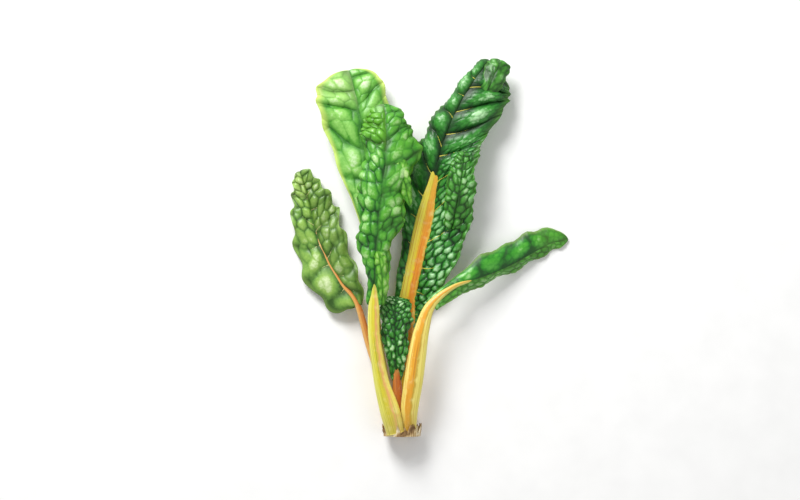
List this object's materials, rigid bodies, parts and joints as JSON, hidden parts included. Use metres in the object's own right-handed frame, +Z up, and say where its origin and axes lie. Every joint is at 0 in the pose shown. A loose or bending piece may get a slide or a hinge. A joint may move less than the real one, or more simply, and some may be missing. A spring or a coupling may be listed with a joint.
{
  "type": "rainbow chard bunch",
  "caption": "Rainbow chard plant laid flat: broad ribbed yellow and orange stalks fan out of a trimmed crown into crinkled green leaves with wavy edges.",
  "frame": {"origin": "on the surface the bunch lies on, under the middle of its outline", "axes": "+Y from the crown to the leaf tips, +Z up away from the surface, +X to the right seen from above"},
  "size_m": [0.2794, 0.3784, 0.0494],
  "materials": {
    "crown": "pale trimmed crown, papery and dry at its rim",
    "yellow_stalk": "smooth waxy stalk, fine ribs along its length",
    "orange_stalk": "smooth waxy stalk, fine ribs along its length",
    "olive_blade": "crinkled leaf, soft gloss",
    "pale_blade": "quilted leaf, soft gloss, yellow-green rim",
    "green_blade": "crinkled leaf, soft gloss",
    "dark_blade": "deeply crinkled dark leaf, glossy bulges"
  },
  "bodies": {
    "root": {"crown": "crown", "left_leaf_stalk": "orange_stalk", "left_leaf_blade": "olive_blade", "tall_leaf_stalk": "yellow_stalk", "tall_leaf_blade": "pale_blade", "front_leaf_stalk": "yellow_stalk", "front_leaf_blade": "green_blade", "centre_leaf_stalk": "orange_stalk", "centre_leaf_blade": "dark_blade", "heart_leaf_stalk": "orange_stalk", "heart_leaf_blade": "dark_blade", "right_leaf_stalk": "yellow_stalk", "right_leaf_blade": "green_blade"}
  },
  "joints": []
}
